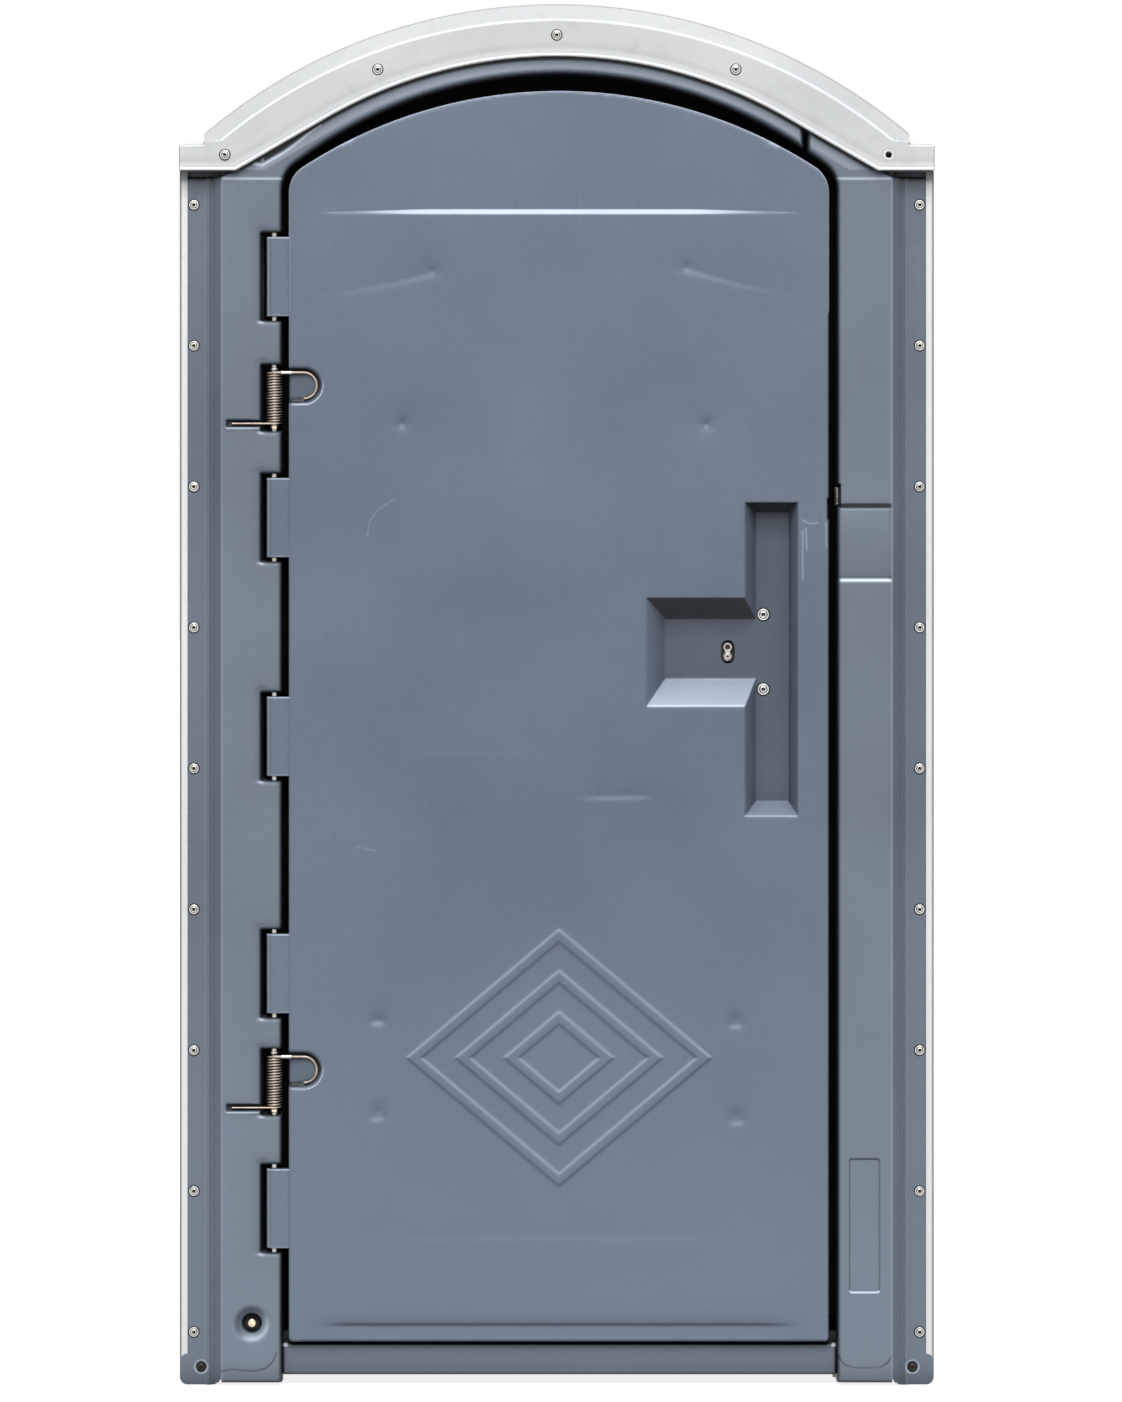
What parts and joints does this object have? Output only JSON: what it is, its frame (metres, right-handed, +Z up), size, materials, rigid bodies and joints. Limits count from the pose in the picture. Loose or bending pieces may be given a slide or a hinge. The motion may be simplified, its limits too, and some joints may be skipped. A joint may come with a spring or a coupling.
{
  "type": "portable toilet cabin",
  "caption": "Free-standing plastic toilet cabin with a domed roof, a spring-closed door on a rod hinge, a slide latch, a bench tank with seat and lid, a urinal and a vent pipe.",
  "frame": {"origin": "centre of the cabin's plan, on the ground it stands on", "axes": "+Z up, the door faces -Y, +X is to the right of someone facing the door"},
  "size_m": [1.118, 1.219, 2.0468],
  "materials": {
    "door_grey": "satin moulded polyethylene",
    "frame_grey": "satin moulded polyethylene",
    "wall_grey": "satin moulded polyethylene",
    "base_grey": "dull moulded polyethylene",
    "trim_white": "satin",
    "roof_white": "satin, passes light",
    "spring_wire": "drawn, copper tinted",
    "plated_steel": "zinc plated",
    "rivet_aluminium": "bright",
    "brass": "dull",
    "dark_screw": "black",
    "black_plastic": "dull",
    "tank_grey": "satin",
    "white_plastic": "gloss",
    "drain_grey": "satin",
    "black_rubber": "dull"
  },
  "bodies": {
    "cabin": {"back_wall": "wall_grey", "base_pan": "base_grey", "door_sill": "base_grey", "front_left_trim": "trim_white", "front_right_trim": "trim_white", "hinge_rod": "plated_steel", "hinge_side_frame": "frame_grey", "hinge_springs": "spring_wire", "latch_side_post": "frame_grey", "left_foot_screw": "dark_screw", "left_frame_rivets": "rivet_aluminium", "left_skid": "base_grey", "left_wall": "wall_grey", "lock_staple": "plated_steel", "paper_bracket": "black_plastic", "paper_pin": "plated_steel", "post_bolt": "brass", "rear_left_trim": "trim_white", "rear_right_trim": "trim_white", "right_foot_screw": "dark_screw", "right_frame_rivets": "rivet_aluminium", "right_skid": "base_grey", "right_wall": "wall_grey", "roof": "roof_white", "roof_rivets": "rivet_aluminium", "seat_bracket": "white_plastic", "seat_bumpers": "black_rubber", "seat_pin": "plated_steel", "strike_plate": "plated_steel", "urinal": "white_plastic", "urinal_drain": "drain_grey", "vent_cap": "black_plastic", "vent_collar": "black_rubber", "vent_pipe": "black_plastic", "waste_tank": "tank_grey"},
    "door": {"door_skin": "door_grey", "hand_recess": "door_grey", "door_inner_panel": "door_grey", "latch_housing": "black_plastic", "handle_rivets": "rivet_aluminium", "inner_pull": "plated_steel", "coat_hook": "plated_steel"},
    "latch": {"latch_bolt": "plated_steel", "latch_link": "plated_steel", "latch_knob": "black_plastic"},
    "seat": {"toilet_seat": "white_plastic"},
    "lid": {"seat_lid": "white_plastic"},
    "paper_bar": {"paper_arm": "white_plastic"}
  },
  "joints": [
    {"name": "door_hinge", "type": "hinge", "parent": "cabin", "child": "door", "pos_m": [-0.4188, -0.586, 0.96], "axis": [0, 0, -1], "range_deg": [0, 105], "stiffness_Nm_per_rad": 4, "springref_deg": -34.38, "deforming": ["hinge_springs"]},
    {"name": "latch_slide", "type": "slide", "parent": "door", "child": "latch", "axis": [1, 0, 0], "range_m": [0, 0.04]},
    {"name": "seat_hinge", "type": "hinge", "parent": "cabin", "child": "seat", "pos_m": [0, 0.505, 0.484], "axis": [-1, 0, 0], "range_deg": [0, 95]},
    {"name": "lid_hinge", "type": "hinge", "parent": "seat", "child": "lid", "pos_m": [0, 0.505, 0.484], "axis": [1, 0, 0], "range_deg": [-95, 0]},
    {"name": "paper_arm_hinge", "type": "hinge", "parent": "cabin", "child": "paper_bar", "pos_m": [-0.4795, 0.06, 0.7], "axis": [0, 0, 1], "range_deg": [0, 90]}
  ]
}
